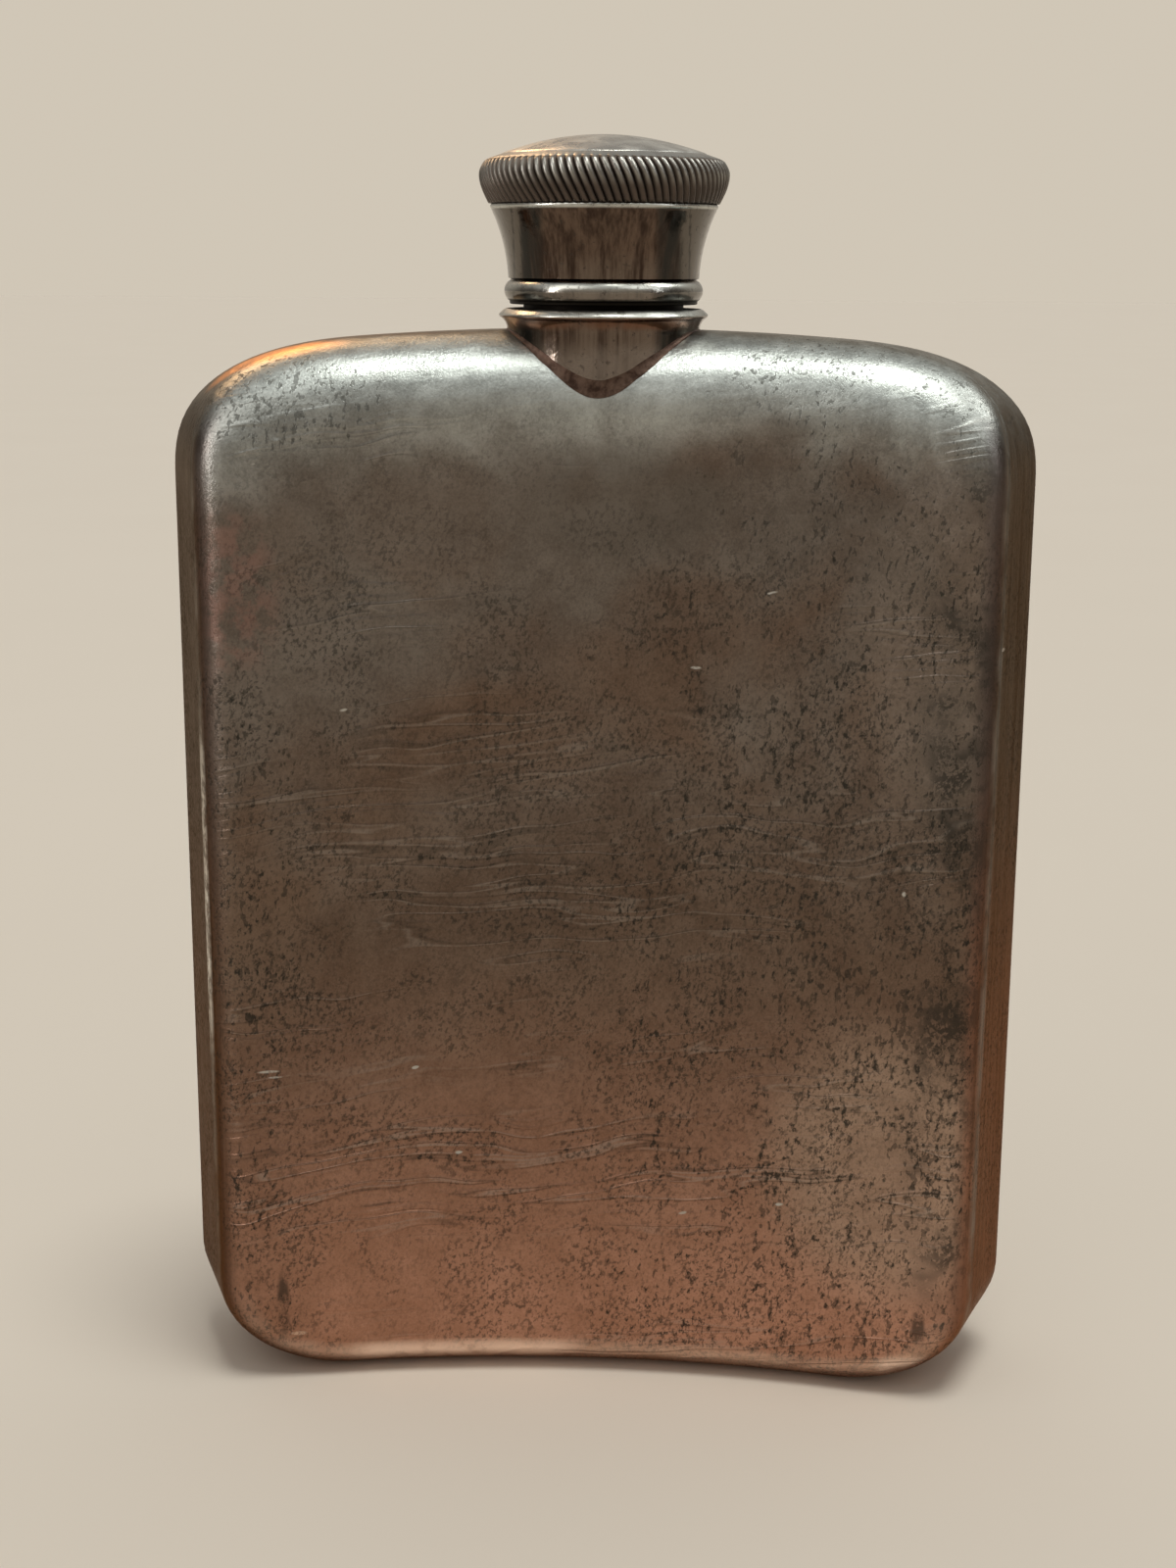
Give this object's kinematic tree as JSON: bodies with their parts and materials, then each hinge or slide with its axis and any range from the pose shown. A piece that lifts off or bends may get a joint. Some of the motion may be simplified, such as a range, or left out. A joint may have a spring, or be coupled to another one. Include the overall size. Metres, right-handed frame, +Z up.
{
  "type": "hip flask",
  "caption": "Curved pocket hip flask for spirits, with a soldered two-part metal body, a turned collar and a lift-off bayonet cap with a cork seal.",
  "frame": {"origin": "on the flat base, straight below the axis of the neck", "axes": "+Z up along the neck, +X along the width, -Y out of the concave face, +Y out of the convex face"},
  "size_m": [0.095, 0.0297, 0.14],
  "materials": {
    "body": "aged pewter, satin, pitted and scratched",
    "polished": "polished, lightly tarnished",
    "solder": "dull grey-brown solder",
    "neck": "worn plate",
    "pin_steel": "plain steel",
    "knurl": "dark grooves with bright worn ridges",
    "dome": "satin, worn",
    "cork": "natural cork"
  },
  "bodies": {
    "flask": {"front_shell": "body", "back_shell": "body", "collar": "polished", "collar_solder": "solder", "neck_tube": "neck"},
    "seal": {"seal_cup": "neck", "cork_washer": "cork"},
    "cap": {"cap_skirt": "polished", "cap_bush": "neck", "bayonet_pins": "pin_steel", "knurled_band": "knurl", "cap_dome": "dome", "swivel_rivet": "pin_steel"}
  },
  "joints": [
    {"name": "cap_lift", "type": "slide", "parent": "flask", "child": "seal", "axis": [0, 0, 1], "range_m": [0, 0.06]},
    {"name": "cap_turn", "type": "hinge", "parent": "seal", "child": "cap", "pos_m": [0, 0, 0.1266], "axis": [0, 0, 1], "range_deg": [0, 60]}
  ]
}
